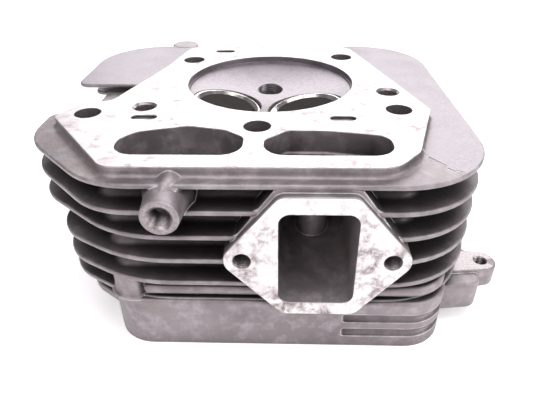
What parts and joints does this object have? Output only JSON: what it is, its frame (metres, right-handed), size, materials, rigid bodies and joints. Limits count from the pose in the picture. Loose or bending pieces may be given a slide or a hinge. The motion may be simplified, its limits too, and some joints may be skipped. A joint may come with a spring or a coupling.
{
  "type": "engine cylinder head",
  "caption": "Finned air-cooled engine cylinder head with dished chamber, side intake flange, rocker box and overhead valve gear.",
  "frame": {"origin": "on the plane of the rocker cover rim, under the middle of the head's bounding box", "axes": "+Z out of the gasket face towards the cylinder, -Y out of the intake flange, +X along the crankshaft towards the mounting ear"},
  "size_m": [0.2116, 0.1996, 0.087],
  "materials": {
    "cast_aluminium": "as cast, machined faces",
    "seat_steel": "ground",
    "guide_iron": "turned",
    "valve_steel": "ground, sooty heads",
    "spring_steel": "dark oiled wire",
    "washer_steel": "satin",
    "keeper_steel": "satin",
    "rocker_steel": "investment cast",
    "screw_steel": "black oxide",
    "seal_rubber": "matt"
  },
  "bodies": {
    "head": {"head_casting": "cast_aluminium", "intake_stem_seal": "seal_rubber", "intake_valve_seat": "seat_steel", "intake_valve_guide": "guide_iron", "intake_spring_seat": "washer_steel", "intake_valve_spring": "spring_steel", "intake_rocker_pivot": "seat_steel", "intake_pivot_screw": "screw_steel", "exhaust_valve_seat": "seat_steel", "exhaust_valve_guide": "guide_iron", "exhaust_spring_seat": "washer_steel", "exhaust_valve_spring": "spring_steel", "exhaust_rocker_pivot": "seat_steel", "exhaust_pivot_screw": "screw_steel"},
    "intake_valve_train": {"intake_valve": "valve_steel", "intake_keeper_a": "keeper_steel", "intake_keeper_b": "keeper_steel", "intake_spring_retainer": "washer_steel"},
    "intake_rocker": {"intake_rocker_arm": "rocker_steel"},
    "exhaust_valve_train": {"exhaust_valve": "valve_steel", "exhaust_keeper_a": "keeper_steel", "exhaust_keeper_b": "keeper_steel", "exhaust_spring_retainer": "washer_steel"},
    "exhaust_rocker": {"exhaust_rocker_arm": "rocker_steel"}
  },
  "joints": [
    {"name": "intake_valve_lift", "type": "slide", "parent": "head", "child": "intake_valve_train", "axis": [-0.1736, 0, 0.9848], "range_m": [0, 0.0075], "deforming": ["intake_valve_spring"]},
    {"name": "intake_rocker_swing", "type": "hinge", "parent": "head", "child": "intake_rocker", "pos_m": [0.03689, -0.04139, 0.00873], "axis": [0.9585, 0.2296, 0.169], "range_deg": [0, 12]},
    {"name": "exhaust_valve_lift", "type": "slide", "parent": "head", "child": "exhaust_valve_train", "axis": [0.2079, 0, 0.9781], "range_m": [0, 0.0075], "deforming": ["exhaust_valve_spring"]},
    {"name": "exhaust_rocker_swing", "type": "hinge", "parent": "head", "child": "exhaust_rocker", "pos_m": [-0.04155, -0.03769, 0.00888], "axis": [0.9738, -0.0947, -0.207], "range_deg": [0, 12]}
  ],
  "couplings": [
    {"joint": "intake_rocker_swing", "follows": "intake_valve_lift", "rad_per_m": 27.8},
    {"joint": "exhaust_rocker_swing", "follows": "exhaust_valve_lift", "rad_per_m": 27.8}
  ]
}
